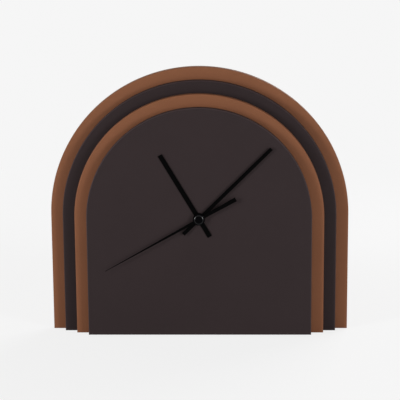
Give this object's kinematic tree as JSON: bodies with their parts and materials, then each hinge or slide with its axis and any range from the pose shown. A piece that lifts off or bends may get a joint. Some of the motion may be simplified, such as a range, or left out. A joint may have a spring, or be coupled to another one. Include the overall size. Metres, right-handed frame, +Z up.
{
  "type": "desk clock",
  "caption": "Free-standing desk clock of stepped arched boards in brown and near-black, with plain black hands geared to a battery quartz movement set into the back.",
  "frame": {"origin": "middle of the base: on the surface that it stands on, halfway across, and halfway between the back face and the front of the hub cap", "axes": "+X to the right seen from the front, +Y to the rear (the dial faces -Y), +Z up"},
  "size_m": [0.24, 0.0284, 0.216],
  "materials": {
    "paint_brown": "satin",
    "paint_dark": "satin",
    "hand_black": "satin",
    "cap_black": "gloss",
    "nut_black": "satin",
    "screw_steel": "satin",
    "gasket_rubber": "matte",
    "case_plastic": "matte",
    "gear_plastic": "satin",
    "knob_plastic": "satin",
    "arbor_brass": "satin",
    "magnet_ferrite": "matte",
    "yoke_steel": "satin",
    "coil_copper": "satin",
    "board_green": "satin",
    "chip_epoxy": "gloss",
    "can_steel": "polished",
    "cell_jacket": "gloss",
    "contact_nickel": "satin"
  },
  "bodies": {
    "clock": {"front_panel": "paint_dark", "third_panel": "paint_brown", "second_panel": "paint_dark", "rear_panel": "paint_brown", "panel_screw_1": "screw_steel", "panel_screw_2": "screw_steel", "panel_screw_3": "screw_steel", "panel_screw_4": "screw_steel", "movement_gasket": "gasket_rubber", "shaft_washer": "nut_black", "shaft_nut": "nut_black", "movement_case": "case_plastic", "gear_plate": "gear_plastic", "movement_cover": "case_plastic", "stator": "yoke_steel", "coil_core": "yoke_steel", "coil_bobbin": "gear_plastic", "coil_winding": "coil_copper", "circuit_board": "board_green", "circuit_chip": "chip_epoxy", "quartz_crystal": "can_steel", "positive_contact": "contact_nickel", "negative_contact": "contact_nickel"},
    "hour": {"hour_wheel": "gear_plastic", "hour_hand": "hand_black"},
    "minute": {"minute_arbor": "arbor_brass", "centre_wheel": "gear_plastic", "minute_hand": "hand_black"},
    "second": {"second_wheel": "gear_plastic", "second_hand": "hand_black", "hub_cap": "cap_black"},
    "third": {"third_wheel": "gear_plastic"},
    "intermediate": {"intermediate_wheel": "gear_plastic"},
    "rotor": {"rotor": "magnet_ferrite"},
    "transfer": {"transfer_wheel": "gear_plastic", "setting_knob": "knob_plastic"},
    "battery": {"battery_cell": "cell_jacket"}
  },
  "joints": [
    {"name": "minute_hand_turn", "type": "hinge", "parent": "clock", "child": "minute", "pos_m": [0, 0, 0.0967], "axis": [0, 1, 0], "continuous": true},
    {"name": "hour_hand_turn", "type": "hinge", "parent": "clock", "child": "hour", "pos_m": [0, 0, 0.0967], "axis": [0, 1, 0], "continuous": true},
    {"name": "second_hand_turn", "type": "hinge", "parent": "clock", "child": "second", "pos_m": [0, 0, 0.0967], "axis": [0, 1, 0], "continuous": true},
    {"name": "third_wheel_turn", "type": "hinge", "parent": "clock", "child": "third", "pos_m": [0.00885, 0, 0.10289], "axis": [0, 1, 0], "continuous": true},
    {"name": "intermediate_wheel_turn", "type": "hinge", "parent": "clock", "child": "intermediate", "pos_m": [-0.00308, 0, 0.10516], "axis": [0, 1, 0], "continuous": true},
    {"name": "rotor_turn", "type": "hinge", "parent": "clock", "child": "rotor", "pos_m": [-0.00429, 0, 0.11205], "axis": [0, 1, 0], "continuous": true},
    {"name": "setting_knob_turn", "type": "hinge", "parent": "clock", "child": "transfer", "pos_m": [-0.01129, 0, 0.0967], "axis": [0, 1, 0], "continuous": true},
    {"name": "battery_removal", "type": "slide", "parent": "clock", "child": "battery", "axis": [0, 1, 0], "range_m": [0, 0.025]}
  ],
  "couplings": [
    {"joint": "hour_hand_turn", "follows": "minute_hand_turn", "ratio": 0.083333},
    {"joint": "second_hand_turn", "follows": "minute_hand_turn", "ratio": 60},
    {"joint": "third_wheel_turn", "follows": "minute_hand_turn", "ratio": -8},
    {"joint": "intermediate_wheel_turn", "follows": "minute_hand_turn", "ratio": -300},
    {"joint": "rotor_turn", "follows": "minute_hand_turn", "ratio": 1800},
    {"joint": "setting_knob_turn", "follows": "minute_hand_turn", "ratio": -0.33333}
  ]
}
